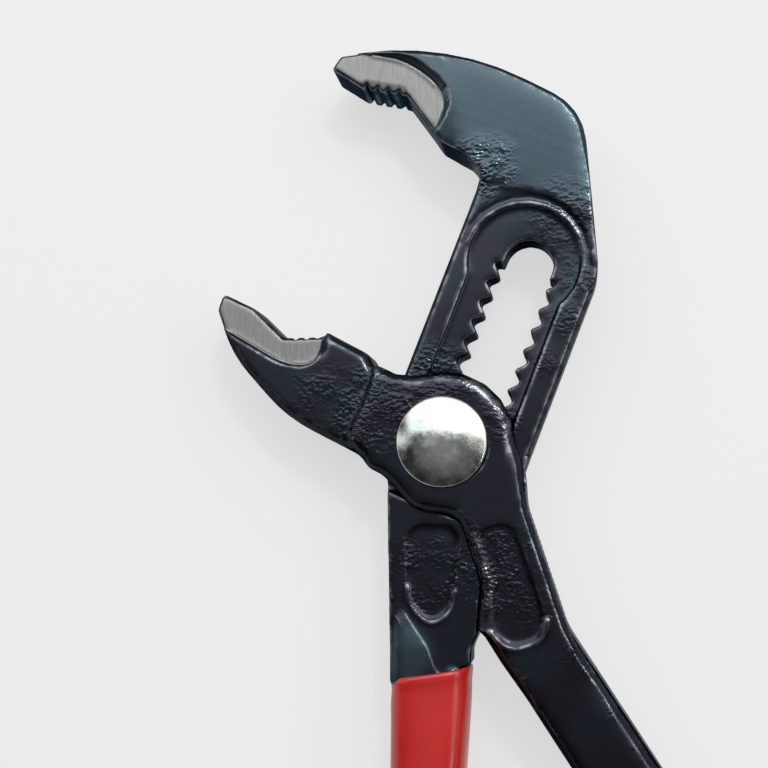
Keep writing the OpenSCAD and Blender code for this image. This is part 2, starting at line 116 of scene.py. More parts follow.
# %% Table
table_side = 12.0
floor_mesh = bpy.data.meshes.new("floor")
bm = bmesh.new()
bmesh.ops.create_grid(bm, x_segments=1, y_segments=1, size=table_side)
bm.to_mesh(floor_mesh)
bm.free()
floor = bpy.data.objects.new("floor", floor_mesh)
bpy.context.scene.collection.objects.link(floor)
print("table", 2 * table_side, "m wide")

# %% Helpers for finishes
def finish(name):
    """A new node material and its main shader."""
    material = bpy.data.materials.new(name)
    material.use_nodes = True
    return material, material.node_tree.nodes["Principled BSDF"]


def node(material, kind, **settings):
    """A node with its settings and its input values."""
    made = material.node_tree.nodes.new(kind)
    for key, value in settings.items():
        if key in made.inputs.keys():
            made.inputs[key].default_value = value
        else:
            setattr(made, key, value)
    return made


def link(material, source, target):
    """A link from an output to an input."""
    material.node_tree.links.new(source, target)


def math_node(material, operation, *values):
    """One sum on sockets or plain numbers."""
    made = node(material, "ShaderNodeMath", operation=operation)
    for k, value in enumerate(values):
        if isinstance(value, (int, float)):
            made.inputs[k].default_value = value
        else:
            link(material, value, made.inputs[k])
    return made.outputs[0]


def both_shaders(material, share, first, second):
    """Lets a second shader take over from the first by a share."""
    made = node(material, "ShaderNodeMixShader")
    for k, source in enumerate((share, first.outputs[0], second.outputs[0])):
        link(material, source, made.inputs[k])
    surface = material.node_tree.nodes["Material Output"].inputs["Surface"]
    link(material, made.outputs[0], surface)


# %% Pale sheet
glow_share = 0.8
pale_sheet, sheet = finish("pale_sheet")
sheet.inputs["Base Color"].default_value = (0.82, 0.82, 0.82, 1)
sheet.inputs["Roughness"].default_value = 0.9
sheet.inputs["Specular IOR Level"].default_value = 0.1
even = node(pale_sheet, "ShaderNodeEmission", Color=(0.79, 0.79, 0.79, 1), Strength=1.0)
ray = node(pale_sheet, "ShaderNodeLightPath").outputs
seen_ray = math_node(pale_sheet, "MAXIMUM", ray["Is Camera Ray"], ray["Is Glossy Ray"])
any_ray = math_node(pale_sheet, "MAXIMUM", seen_ray, ray["Is Transmission Ray"])
both_shaders(pale_sheet, math_node(pale_sheet, "MULTIPLY", any_ray, glow_share), sheet, even)
floor_mesh.materials.append(pale_sheet)
print(pale_sheet.name, "glows by", glow_share)

# %% [markdown]
# ## Light
#
# Dark shiny steel shows its surroundings more than its own colour. One wide softbox stands
# beyond the head: the face of the head mirrors it and turns grey, while the parts nearer the
# handles mirror the dim ceiling and stay almost black. The same edge between the softbox and
# the ceiling crosses the rivet's dome. Two narrow strips, right and left, draw thin lines of
# light on the edges that face them, and one small lamp makes the crackled steel sparkle.

# %% Softboxes
def softbox(name, place, size_x, size_y, glow):
    """An area lamp that faces the tool. glow is how bright its face looks, 1 being white."""
    lamp = bpy.data.lights.new(name, "AREA")
    lamp.shape = "RECTANGLE"
    lamp.size = size_x
    lamp.size_y = size_y
    lamp.energy = glow * math.pi * size_x * size_y
    stand = bpy.data.objects.new(name, lamp)
    stand.location = place
    towards_tool = Vector((0, 0, 0)) - Vector(place)
    stand.rotation_euler = towards_tool.to_track_quat("-Z", "Y").to_euler()
    bpy.context.scene.collection.objects.link(stand)
    print(name, round(lamp.energy, 1), "W")


softbox("head_softbox", (0.12, 1.46, 1.633), 5.56, 2.2, 2.55)
softbox("right_strip", (2.0, 0.3, 1.3), 2.6, 0.25, 8.0)
softbox("left_strip", (-2.4, 0.3, 0.9), 0.5, 1.6, 2.0)
softbox("sparkle_lamp", (0.50, 0.92, 1.22), 0.22, 0.22, 55)

# %% [markdown]
# ## Ceiling and walls
#
# What no lamp fills is mirrored as well. The world is a ramp on height: pale where the walls
# meet the table, dim above that, and a little lighter straight overhead, with a trace of
# violet that shows on the flat black steel.

# %% Ceiling and walls
world = bpy.data.worlds.new("studio")
bpy.context.scene.world = world
world.use_nodes = True
world.node_tree.nodes.clear()
axes = node(world, "ShaderNodeSeparateXYZ")
link(world, node(world, "ShaderNodeTexCoord").outputs["Generated"], axes.inputs[0])
height = node(world, "ShaderNodeValToRGB")
levels = height.color_ramp.elements
levels[0].position = 0.10
levels[0].color = (0.82, 0.82, 0.82, 1)
levels[1].position = 1.0
levels[1].color = (0.40, 0.385, 0.43, 1)
for level, grey in ((0.26, 0.05), (0.66, 0.035), (0.90, 0.27)):
    levels.new(level).color = (grey, grey, grey * 1.05, 1)
link(world, axes.outputs["Z"], height.inputs["Fac"])
sky = node(world, "ShaderNodeBackground")
link(world, height.outputs["Color"], sky.inputs["Color"])
link(world, sky.outputs[0], node(world, "ShaderNodeOutputWorld").inputs["Surface"])
print("walls pale, ceiling dim,", len(levels), "levels")

# %% [markdown]
# ## Forged levers
#
# Both levers are drop forgings: every edge is soft where the hot steel met the die, and only
# the ground jaws and the teeth are sharp. Bevelling hundreds of small edges one by one fails
# where they are shorter than the bevel. Instead the frame's shape is copied, its doubled
# points are merged, and a voxel remesh gives an even skin that smoothing can round, the way
# a die rounds it. The part inside a grip isn't seen, so it keeps its few plain faces.

# %% A blank from the frame
def merged_copy(node):
    """A bmesh of a frame node's shape with its doubled points merged."""
    blank = bmesh.new()
    blank.from_mesh(frame["nodes"][node].data)
    bmesh.ops.remove_doubles(blank, verts=blank.verts, dist=1e-6)
    print(node, "blank of", len(blank.faces), "faces")
    return blank


def cut_across(blank, y, keep):
    """Cuts a blank at a height along the tool, keeps one side and closes the cut."""
    everything = blank.verts[:] + blank.edges[:] + blank.faces[:]
    done = bmesh.ops.bisect_plane(
        blank, geom=everything, dist=1e-7, plane_co=(0, y, 0), plane_no=(0, 1, 0),
        clear_inner=keep == "above", clear_outer=keep == "below")
    rim = [part for part in done["geom_cut"] if isinstance(part, bmesh.types.BMEdge)]
    bmesh.ops.edgeloop_fill(blank, edges=rim)


# %% A forged skin
skin_voxel = 0.000345
print("skin squares of", skin_voxel * 1000, "mm")


def even_skin(blank):
    """Remeshes a closed blank into small even squares."""
    mesh = bpy.data.meshes.new("blank")
    blank.to_mesh(mesh)
    blank.free()
    rough = bpy.data.objects.new("blank", mesh)
    bpy.context.scene.collection.objects.link(rough)
    remesh = rough.modifiers.new("skin", "REMESH")
    remesh.mode = "VOXEL"
    remesh.voxel_size = skin_voxel
    bpy.context.view_layer.update()
    seen = rough.evaluated_get(bpy.context.evaluated_depsgraph_get())
    skin = bmesh.new()
    skin.from_mesh(seen.to_mesh())
    seen.to_mesh_clear()
    bpy.data.objects.remove(rough)
    bpy.data.meshes.remove(mesh)
    return skin


def soften(skin, chosen, passes):
    """Rounds the chosen points of a skin, as a forging die does."""
    points = [v for v in skin.verts if chosen(v.co)]
    for _ in range(passes):
        bmesh.ops.smooth_vert(
            skin, verts=points, factor=0.5, use_axis_x=True, use_axis_y=True, use_axis_z=True)


def forged_skin(node, grip, depth, is_sharp):
    """A lever's rounded skin, from its jaw down to a little inside its grip."""
    blank = merged_copy(node)
    cut_across(blank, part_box(grip)[1].y - depth, "above")
    skin = even_skin(blank)
    soften(skin, lambda co: True, 1)
    soften(skin, lambda co: not is_sharp(co), 5)
    print(node, "skin of", len(skin.faces), "faces")
    return skin


# %% [markdown]
# ## Upper lever
#
# The upper lever is one forging: a hooked jaw, a shank with the toothed slot, and the left
# handle. Many of its places are easiest to say along the slot, so one helper turns a place
# into "how far up the slot and how far to its right". The bite and the ground side of the
# jaw are left out of the rounding, because they were cut after forging.

# %% Upper lever's skin
mid_z = 0.007
ground_half = 0.00515
slot_lean = math.radians(21)
upper_depth = 0.006


def up_slot(co):
    """How far a place is up the slot from the pivot, and how far to its right."""
    up = co.x * math.sin(slot_lean) + co.y * math.cos(slot_lean)
    right = co.x * math.cos(slot_lean) - co.y * math.sin(slot_lean)
    return up, right


def on_ground_plane(co):
    """Whether a place lies on one of the two planes that the jaws are ground to."""
    return abs(abs(co.z - mid_z) - ground_half) < 0.0003


def sharp_upper(co):
    """Whether a place of the upper lever was cut after forging."""
    on_bite = 0.0615 < co.y < 0.0712 and co.x < -0.0055
    on_ground = on_ground_plane(co) and co.x < 0.0005 and co.y > 0.0560
    return on_bite or on_ground or co.x < -0.0195


upper_skin = forged_skin("upper_lever", "upper_grip", upper_depth, sharp_upper)

# %% [markdown]
# ### Head
#
# Round the top of the slot the head rises in one short step and then grows thicker very
# slowly. That slow swell turns the flat face into a soft mirror, with an even fall of light.
# A step with soft ends moves each point along the thickness only, and smoothing that works
# on heights alone blends the ramp without touching the outline.

# %% Head
blade_half = 0.0042
head_step = 0.0016
slot_top = 0.036
arch_r = 0.0136
short_rise = 0.00035
slow_rise = 0.00125
head_start = 0.040


def ease(share):
    """0 to 1 with a soft start and end."""
    share = max(0, min(1, share))
    return share * share * (3 - 2 * share)


def swell_head(skin):
    """Lets the head rise in one short step round the arch and then very slowly."""
    for v in skin.verts:
        up, right = up_slot(v.co)
        past = math.hypot(up - slot_top, right) - arch_r
        if past < 0 or up < head_start:
            continue
        flat = blade_half + head_step * max(0, min(1, (up - 0.050) / 0.012))
        swollen = blade_half + short_rise * ease(past / 0.0014) + slow_rise * min(1, past / 0.026)
        start = head_start + 0.0080 * ease((-0.002 - right) / 0.006)
        share = ease((v.co.x - 0.0003) / 0.003) * ease((up - start) / 0.003)
        v.co.z = mid_z + (v.co.z - mid_z) * (1 + (swollen / flat - 1) * share)


def level_out(skin, chosen, passes, flattest=0.0):
    """Lets heights flow into each other without moving the outline."""
    skin.normal_update()
    points = [v for v in skin.verts if abs(v.normal.z) >= flattest and chosen(v.co)]
    for _ in range(passes):
        bmesh.ops.smooth_vert(
            skin, verts=points, factor=0.5, use_axis_x=False, use_axis_y=False, use_axis_z=True)


def on_ramp(co):
    """Whether a place lies where the head goes over into the shank."""
    return 0.0520 < up_slot(co)[0] < 0.0735 and co.x > 0.0


swell_head(upper_skin)
level_out(upper_skin, on_ramp, 60, 0.85)
print("head swells by", round((short_rise + slow_rise) * 1000, 2), "mm")

# %% [markdown]
# ### Upper bite
#
# The teeth of the bite are cut across the jaw. The remesh rounds their notches a little, so
# they are drawn deeper here: points just inside the line of tips move into the jaw, and the
# move fades out further in and at both ends of the row.

# %% Upper bite
tooth_line = Vector((-0.0165, 0.0695)), Vector((-0.0076, 0.0675))
notch_drawn = 0.0008
tip_depth = 0.0007
end_slack = 0.0004


def deepen_teeth(skin, line):
    """Draws the notches of a bite deeper into the jaw, without moving the tips."""
    start, end = line
    along = (end - start).normalized()
    into = Vector((-along.y, along.x))
    for v in skin.verts:
        here = v.co.xy - start
        deep = here.dot(into)
        from_end = min(here.dot(along), (end - start).length - here.dot(along))
        if from_end > -end_slack and -0.001 < deep < 0.004:
            drawn = notch_drawn * ease(deep / tip_depth)
            drawn *= 1 - ease((deep - tip_depth) / 0.0028)
            drawn *= ease((from_end + end_slack) / 0.0010)
            v.co.x += into.x * drawn
            v.co.y += into.y * drawn


deepen_teeth(upper_skin, tooth_line)
print("bite notches", notch_drawn * 1000, "mm deeper")

# %% [markdown]
# ### Ground jaw side
#
# The sides of the jaw are ground to bright steel, and the grinding ends in a curve. The
# outline of the ground face is a line of a few points whose corners are cut off until it is
# round. Inside it the jaw gets thinner, and the distance to the line is stored on each
# point, so that the finish further down can change from black to bright right at the line.

# %% Lines in plan
def line_gap(here, stops):
    """How far a place in plan is from a line of points."""
    return min(
        (here - a.lerp(b, max(0, min(1, (here - a).dot(b - a) / (b - a).length_squared)))).length
        for a, b in zip(stops, stops[1:]))


def rounded(line):
    """A line of (x, y) points with its corners cut three times."""
    for _ in range(3):
        cut = [line[0]]
        for (ax, ay), (bx, by) in zip(line, line[1:]):
            cut.append((ax * 0.75 + bx * 0.25, ay * 0.75 + by * 0.25))
            cut.append((ax * 0.25 + bx * 0.75, ay * 0.25 + by * 0.75))
        line = cut + [line[-1]]
    return line


def inside(co, outline):
    """Whether a place lies inside an outline in plan."""
    crossed = False
    for (ax, ay), (bx, by) in zip(outline, outline[1:] + outline[:1]):
        if (ay > co.y) != (by > co.y) and co.x < ax + (bx - ax) * (co.y - ay) / (by - ay):
            crossed = not crossed
    return crossed


ground_end = rounded([
    (-0.0047, 0.0582), (-0.0030, 0.0592), (-0.0016, 0.0608), (0.0006, 0.0672),
    (-0.0070, 0.0740), (-0.0140, 0.0757)])
print("ground face ends in a curve of", len(ground_end), "points")

# %% Upper ground side
mark_fade = 0.001


def grind(skin, outline, share):
    """Takes a share of the thickness off inside an outline and marks it as ground steel."""
    bright = skin.verts.layers.float.new("ground")
    closed = [Vector(point) for point in outline + outline[:1]]
    low_y = min(p.y for p in closed) - mark_fade
    high_x = max(p.x for p in closed) + mark_fade
    for v in skin.verts:
        if v.co.y < low_y or v.co.x > high_x:
            continue
        edge = line_gap(v.co.xy, closed)
        if inside(v.co, outline):
            v.co.z = mid_z + (v.co.z - mid_z) * (1 - share)
            v[bright] = 0.5 + edge / mark_fade
        else:
            v[bright] = 0.5 - edge / mark_fade


upper_share = 0.13
upper_ground = [(-0.0260, 0.0705), (-0.0165, 0.0620)] + ground_end
upper_ground += [(-0.0176, 0.0764), (-0.0260, 0.0765)]
grind(upper_skin, upper_ground, upper_share)
print("upper jaw ground by", round(ground_half * upper_share * 1000, 2), "mm on each side")

# %% [markdown]
# Round the end of the ground face the black steel slopes down to it. The slope is a plain
# limit: no point may stand higher than the ground plane plus so much for each millimetre
# away from the line. It is steep at the top of the jaw and gets flatter towards the bite.

# %% Slope round the ground face
upper_plane = 0.00448
slope_reach = 0.0024


def along_line(skin, line, reach, move):
    """Gives every point near a line in plan a new height over the middle, by a rule."""
    skin.normal_update()
    stops = [Vector(point) for point in line]
    low_x = min(p.x for p in stops) - reach
    high_x = max(p.x for p in stops) + reach
    low_y = min(p.y for p in stops) - reach
    high_y = max(p.y for p in stops) + reach
    for v in skin.verts:
        if not (low_x < v.co.x < high_x and low_y < v.co.y < high_y):
            continue
        away = line_gap(v.co.xy, stops)
        if away < reach:
            v.co.z = mid_z + move(v.co.z - mid_z, away, v.normal.z)


def chamfer(skin, line, reach, half, steepness):
    """Cuts both faces back to an even slope that starts on a lower plane at a line."""
    def move(high, away, facing_up):
        return math.copysign(min(abs(high), half + steepness * away), high)
    along_line(skin, line, reach, move)


for last, steepness in ((20, 0.56), (23, 0.66), (26, 0.78), (29, 0.90), (48, 1.05)):
    chamfer(upper_skin, ground_end[1:last], slope_reach, upper_plane, steepness)
print("slope ends on a plane", upper_plane * 1000, "mm from the middle")

# %% [markdown]
# ### Ridge on the bare handle
#
# Just above the grip the handle is thicker on its left side. That ridge has a level top
# edge, runs down on a slant and disappears under the plastic. The heights over the blade are
# kept or taken away by how far a point lies to the left of the slant.

# %% Ridge on the bare handle
ridge_top = -0.0320


def left_of_slant(co):
    """How far a place in plan is to the left of the slanted edge of the ridge."""
    return -(co.x + 0.0058) * 0.824 - (co.y + 0.033) * 0.567


def end_ridge(skin):
    """Ends the ridge in a level top edge, and feeds it into the grip."""
    for v in skin.verts:
        high = abs(v.co.z - mid_z) - blade_half
        if high > 0 and v.co.x < 0.0015 and -0.0435 < v.co.y < -0.0200:
            kept = min(1, 0.2 + 0.8 * max(0, left_of_slant(v.co)) / 0.006)
            kept *= 1 - ease((v.co.y - ridge_top) / 0.0010)
            v.co.z -= math.copysign(high * (1 - kept), v.co.z - mid_z)
        fed = ease((-0.0370 - v.co.y) / 0.0035) * (1 - ease((-0.0425 - v.co.y) / 0.0040))
        v.co.y -= 0.0034 * fed * ease((0.0010 - v.co.x) / 0.004)


def on_ridge(co):
    """Whether a place lies on the slanted edge of the ridge."""
    on_slant = abs(left_of_slant(co)) < 0.0016 and -0.0425 < co.y < -0.0285
    return on_slant and abs(co.z - mid_z) > 0.003


end_ridge(upper_skin)
level_out(upper_skin, on_ridge, 30)
print("ridge starts", round(-ridge_top * 1000, 1), "mm below the pivot")

# %% [markdown]
# ### Slot track
#
# The lower lever slides along both sides of the slot and has worn a dished track. Round the
# slot's top end a thin rim stands up, with a valley outside it that was pressed by the die.
# Both follow lines in plan, so a rule moves the heights near a line: a share of the
# thickness for the track, and a soft bump or a soft valley for the rim.

# %% Slot track
track_right = 0.00275
track_top = 0.0372
track_low = -0.006


def slot_place(up, right):
    """The place that lies so far up the slot and to its right."""
    return (
        up * math.sin(slot_lean) + right * math.cos(slot_lean),
        up * math.cos(slot_lean) - right * math.sin(slot_lean))


def thin_out(skin, line, width, share, below):
    """Thins what lies below a height by a share, most of all along a line."""
    def move(high, away, facing_up):
        kept = 1 - share * math.exp(-(away / width) ** 2)
        return high * kept if abs(high) < below else high
    along_line(skin, line, 2 * width, move)


slot_line = [slot_place(track_low, track_right), slot_place(track_top, track_right)]
thin_out(upper_skin, slot_line, 0.0070, 0.15, 0.00375)
print("slot track", round((track_top - track_low) * 1000, 1), "mm long")

# %% Rim round the slot's top
rim_rise = 0.00008
valley_drop = 0.00014
arch_right = 0.0017


def press_line(skin, line, width, rise, front_only=False):
    """Raises, or with a negative rise sinks, the faces along a line."""
    def move(high, away, facing_up):
        if abs(facing_up) < 0.5 or (front_only and min(high, facing_up) < 0):
            return high
        return high + math.copysign(1, facing_up) * rise * math.exp(-(away / width) ** 2)
    along_line(skin, line, 2.5 * width, move)


def arch_line(reach):
    """A line round the top end of the slot, from its left side to its right side."""
    turns = [math.radians(180 - 15 * k) for k in range(13)]
    return [
        slot_place(track_top + reach * math.sin(a), arch_right + reach * math.cos(a))
        for a in turns]


press_line(upper_skin, arch_line(0.0112), 0.0005, rim_rise)
valley = arch_line(0.0123)
for part in (valley, valley[1:12], valley[2:11]):
    press_line(upper_skin, part, 0.0007, -valley_drop)
print("rim", rim_rise * 1000, "mm up, valley", round(3 * valley_drop * 1000, 2), "mm down")

# %% [markdown]
# ### Upper panel and worn edges
#
# A thin bead closes the sunk panel of the left handle at its lower end. Then every point
# stores how far it stands out from its neighbours. On a skin of even squares that is high
# along edges and zero on flats, and the finish uses it to show where the black has rubbed
# off. Last, the plain end of the lever inside the grip is added, and the piece is handed to
# the frame: it rides on the lever's body and stands for the lever's node.

# %% Upper panel and worn edges
blade_bead = [
    (-0.0066, -0.0265), (-0.0064, -0.0292), (-0.0047, -0.0316), (-0.0024, -0.0331),
    (-0.0001, -0.0321), (0.0014, -0.0304), (0.0020, -0.0275)]
press_line(upper_skin, rounded(blade_bead), 0.0006, 0.0003, True)


def mark_edges(skin):
    """Stores how far each point stands out from its neighbours, for worn edges."""
    worn = skin.verts.layers.float.new("edge_wear_and_glint")
    skin.normal_update()
    for v in skin.verts:
        steps = [edge.other_vert(v).co - v.co for edge in v.link_edges]
        v[worn] = sum(-step.normalized().dot(v.normal) for step in steps) / max(1, len(steps))


mark_edges(upper_skin)
print("panel bead of", len(blade_bead), "stops, edges marked")

# %% Upper lever's piece
tang_overlap = 0.002


def add_tang(skin, node, grip, depth):
    """Adds the plain end of the lever inside its grip, which overlaps the skin a little."""
    tang = merged_copy(node)
    cut_across(tang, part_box(grip)[1].y - depth + tang_overlap, "below")
    below = bpy.data.meshes.new("tang")
    tang.to_mesh(below)
    tang.free()
    skin.from_mesh(below)
    bpy.data.meshes.remove(below)


def finished(name, blank, body, node):
    """Makes an object of a bmesh, shades it smooth and hands it to the frame."""
    mesh = bpy.data.meshes.new(name)
    blank.to_mesh(mesh)
    blank.free()
    for face in mesh.polygons:
        face.use_smooth = True
    piece = bpy.data.objects.new(name, mesh)
    bpy.context.scene.collection.objects.link(piece)
    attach(piece, body)
    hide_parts(node)
    print(name, len(mesh.polygons), "faces")
    return piece


add_tang(upper_skin, "upper_lever", "upper_grip", upper_depth)
upper_piece = finished(
    "upper_lever_forging", upper_skin, "upper_lever", "upper_lever")

# %% [markdown]
# ## Lower lever
#
# The lower lever holds the shank in a box: two cheeks with the rivet through them, one in
# front and one behind. It starts as the upper one did. Where the box ends on the handle, its
# step has to fade away, so the heights are levelled five times, each time on a narrower
# stretch. That leaves no line where the smoothing stops.

# %% Lower lever's skin
lower_depth = 0.014
box_end = 0.0095


def sharp_lower(co):
    """Whether a place of the lower lever was cut after forging."""
    on_bite = co.y > 0.0180 and -0.0325 < co.x < -0.0215
    on_ground = on_ground_plane(co) and co.x < -0.0215 and co.y > 0.0100
    return on_bite or on_ground or (co.x < -0.0405 and co.y > 0.0225)


def down_handle(co):
    """How far a place is down the lower handle from its bend."""
    return (co.x - 0.0172) * 0.552 - (co.y + 0.03725) * 0.834


lower_skin = forged_skin("lower_lever", "lower_grip", lower_depth, sharp_lower)
for spread in (0.0066, 0.0058, 0.0050, 0.0042, 0.0034):
    level_out(lower_skin, lambda co: abs(down_handle(co) - box_end) < spread, 24, 0.9)

# %% [markdown]
# ### Boss and crotch
#
# The boss round the rivet has a fuller rounding than the rest. Below it the cheeks reach a
# little over the blade, so the gap between the handles ends in a round instead of a long
# slit, and under the boss's left side a small shoulder stands out. These are moves of less
# than a millimetre in plan that fade out softly, which keeps the even skin in order.

# %% Boss and crotch
boss_front = 0.0048
cheek_drawn = 0.0009
shoulder_push = Vector((-0.00045, -0.00068))


def on_boss(co):
    """Whether a place lies on the edge of the boss, in front or behind."""
    return abs(co.z - mid_z) > boss_front and 0.0090 < co.xy.length < 0.0175 and co.y > -0.0125


def close_crotch(skin):
    """Draws both cheeks over the blade, so that the gap between the handles ends round."""
    for v in skin.verts:
        if -0.0356 < v.co.y < -0.0262 and 0.0050 < v.co.x < 0.0112:
            drawn = ease((-0.0265 - v.co.y) / 0.0045) * (1 - ease((-0.0338 - v.co.y) / 0.0016))
            v.co.x -= cheek_drawn * drawn * (1 - ease((v.co.x - 0.0078) / 0.0030))


def push_out(skin, spot, push, reach):
    """Pushes a small round shoulder out of the outline."""
    for v in skin.verts:
        away = (v.co.xy - spot).length
        if away < 2.5 * reach:
            v.co.xy += push * math.exp(-(away / reach) ** 2)


soften(lower_skin, on_boss, 14)
close_crotch(lower_skin)
push_out(lower_skin, Vector((-0.0129, -0.0034)), shoulder_push, 0.0016)
print("shoulder stands out", round(shoulder_push.length * 1000, 2), "mm")

# %% [markdown]
# ### Lower jaw, panel and wear
#
# The lower jaw is ground like the upper one. Its black rim is a narrow soft slope, wider at
# the right-hand end. A bead closes the panel on the cheek, the edges are marked for wear,
# and the rim of the boss gets a painted highlight on its upper right, where it faces the
# lamps: lighter steel in the same mark.

# %% Lower ground side
lower_plane = 0.00464
lower_share = 0.10


def slope_off(skin, line, width, half):
    """Slopes both faces softly down to a lower plane beside a line."""
    def move(high, away, facing_up):
        spare = max(0, abs(high) - half)
        return high - math.copysign(spare * math.exp(-(away / width) ** 2), high)
    along_line(skin, line, 2.5 * width, move)


jaw_end = rounded([
    (-0.0463, 0.0244), (-0.0365, 0.0187), (-0.0306, 0.01515), (-0.0249, 0.01485),
    (-0.0234, 0.01885), (-0.0234, 0.0225)])
grind(lower_skin, [(-0.0463, 0.0313)] + jaw_end, lower_share)
slope_off(lower_skin, jaw_end, 0.00025, lower_plane)
slope_off(lower_skin, jaw_end[-14:], 0.0012, lower_plane)
print("lower jaw ground by", round(ground_half * lower_share * 1000, 2), "mm on each side")

# %% Lower lever's piece
box_bead = [
    (0.0088, -0.0345), (0.0100, -0.0358), (0.0130, -0.0372), (0.0167, -0.0362),
    (0.0186, -0.0341), (0.0188, -0.0322)]


def paint_rim_glint(skin, reach, width, amount):
    """Paints a highlight on the front rim of the boss as lighter steel, most of all to its upper
    right.
    """
    worn = skin.verts.layers.float["edge_wear_and_glint"]
    for v in skin.verts:
        if v.co.z > mid_z + boss_front and v.co.xy.length < reach + 3 * width:
            side = ease((v.co.x * 0.6 + v.co.y * 0.8 - 0.001) / 0.008)
            v[worn] += amount * side * math.exp(-((v.co.xy.length - reach) / width) ** 2)


press_line(lower_skin, rounded(box_bead), 0.00075, 0.0005, True)
mark_edges(lower_skin)
# Painted highlight: lighter steel on the boss's rim, most of all on its upper right, facing the
# lamps.
paint_rim_glint(lower_skin, 0.0121, 0.0007, 0.045)
add_tang(lower_skin, "lower_lever", "lower_grip", lower_depth)
lower_piece = finished(
    "lower_lever_forging", lower_skin, "lower_lever", "lower_lever")

# %% [markdown]
# ## Rivet
#
# The pivot is one polished rivet: a low dome with a short upright rim, a shaft through the
# box and a countersunk tail on the back. It is round about one axis, so half of its outline
# is drawn once and spun through a full turn, as on a lathe.

# %% Rivet's outline
rivet_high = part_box("pivot_rivet")[1]
head_r = rivet_high.x
seat_z = 0.01405
rim_z = seat_z + 0.0006
crown_h = rivet_high.z - rim_z
ball_r = (head_r ** 2 + crown_h ** 2) / (2 * crown_h)
dome_spread = math.asin(head_r / ball_r)
dome_steps = 28
dome = []
for k in range(dome_steps + 1):
    lean = dome_spread * 0.985 * k / dome_steps
    dome.append((ball_r * math.sin(lean), rivet_high.z - ball_r + ball_r * math.cos(lean)))
rim = [
    (head_r - 0.00004, rim_z - 0.00006),
    (head_r - 0.00001, rim_z - 0.00018),
    (head_r - 0.00006, seat_z + 0.00012),
    (head_r - 0.00022, seat_z)]
shaft_r = 0.0017
tail_r = 0.0045
tail_h = 0.0023
shaft = [
    (shaft_r, seat_z),
    (shaft_r, tail_h),
    (tail_r - 0.0001, 0.0001),
    (tail_r - 0.0003, 0),
    (0, 0)]
print("rivet dome", round(2 * head_r * 1000, 2), "mm across,", round(crown_h * 1000, 2), "high")

# %% Rivet
def lathe(points, steps):
    """Spins an outline of (radius, height) points round the pivot axis."""
    turned = bmesh.new()
    corners = [turned.verts.new((radius, 0, level)) for radius, level in points]
    edges = [turned.edges.new(pair) for pair in zip(corners, corners[1:])]
    bmesh.ops.spin(
        turned, geom=corners + edges, cent=(0, 0, 0), axis=(0, 0, 1), angle=math.tau,
        steps=steps, use_merge=True)
    bmesh.ops.remove_doubles(turned, verts=turned.verts, dist=1e-7)
    bmesh.ops.recalc_face_normals(turned, faces=turned.faces)
    return turned


rivet_piece = finished(
    "rivet", lathe(dome + rim + shaft, 96), "pivot", "pivot_rivet")

# %% [markdown]
# ## Locking core
#
# Inside the box a small toothed block engages the slot. It only shows through the slot's
# openings, so the frame's own shape stays and a worn steel finish goes on it further down.

# %% [markdown]
# ## Dipped grips
#
# The handles are dipped in liquid plastic, which hangs as a smooth, slightly swollen skin
# with a thin bead where it starts. A ring in the shape of a rounded square is extruded from
# station to station along the handle; each new ring is moved on with one matrix, which also
# sets its width and thickness. A subdivision surface then gives the skin its soft sheen.

# %% Grip path
mm = 0.001


def handle_frame(path, u):
    """Place and lean of a handle at a distance u along it: straight, one bend, straight."""
    x, y, lean, straight, bend_r, end_lean = path
    turn = math.copysign(1, end_lean - lean)
    bend_len = abs(end_lean - lean) * bend_r
    here = lean + turn * max(0, min(u - straight, bend_len)) / bend_r
    first = min(u, straight)
    past = max(0, u - straight - bend_len)
    side = turn * bend_r * (math.cos(lean) - math.cos(here))
    rise = turn * bend_r * (math.sin(lean) - math.sin(here))
    x += first * math.sin(lean) + side + past * math.sin(here)
    y += -first * math.cos(lean) + rise - past * math.cos(here)
    return x, y, here


upper_path = (
    -1.9 * mm, -26 * mm, math.radians(-1.8), 62 * mm, 300 * mm, math.radians(-7))
lower_path = (
    17.2 * mm, -37.25 * mm, math.radians(33.5), 34 * mm, 190 * mm, math.radians(12))
upper_start = 15.9 * mm
lower_start = 46 * mm
print("upper grip starts at", [round(c, 4) for c in handle_frame(upper_path, upper_start)])

# %% Grip rings
ring_points = 32
squareness = 2.8
print("grip ring of", ring_points, "points")


def ring_at(path, u, width, thick, skew=0.0):
    """The matrix that puts the unit ring across a handle, skewed in plan by an angle."""
    x, y, lean = handle_frame(path, u)
    return (
        Matrix.Translation((x, y, mid_z)) @ Matrix.Rotation(lean + skew, 4, "Z")
        @ Matrix.Diagonal((width / 2, 1, thick / 2, 1)))


def unit_ring(blank):
    """A ring in the XZ plane, shaped like a rounded square that is two units across."""
    made = bmesh.ops.create_circle(blank, segments=ring_points, radius=1)
    for v in made["verts"]:
        a = math.atan2(v.co.y, v.co.x)
        side = math.copysign(abs(math.cos(a)) ** (2 / squareness), math.cos(a))
        rise = math.copysign(abs(math.sin(a)) ** (2 / squareness), math.sin(a))
        v.co = (side, 0, rise)
    return made["verts"]


def sleeve(places):
    """Extrudes the ring from place to place and closes both ends."""
    blank = bmesh.new()
    bmesh.ops.transform(blank, matrix=places[0], verts=unit_ring(blank))
    ring = blank.edges[:]
    bmesh.ops.edgeloop_fill(blank, edges=ring)
    for before, after in zip(places, places[1:]):
        made = bmesh.ops.extrude_edge_only(blank, edges=ring)["geom"]
        ring = [part for part in made if isinstance(part, bmesh.types.BMEdge)]
        moved = [part for part in made if isinstance(part, bmesh.types.BMVert)]
        bmesh.ops.transform(blank, matrix=after @ before.inverted(), verts=moved)
        ring = [e for e in ring if all(v in set(moved) for v in e.verts)]
    bmesh.ops.edgeloop_fill(blank, edges=ring)
    bmesh.ops.recalc_face_normals(blank, faces=blank.faces)
    print("sleeve of", len(places), "rings")
    return blank


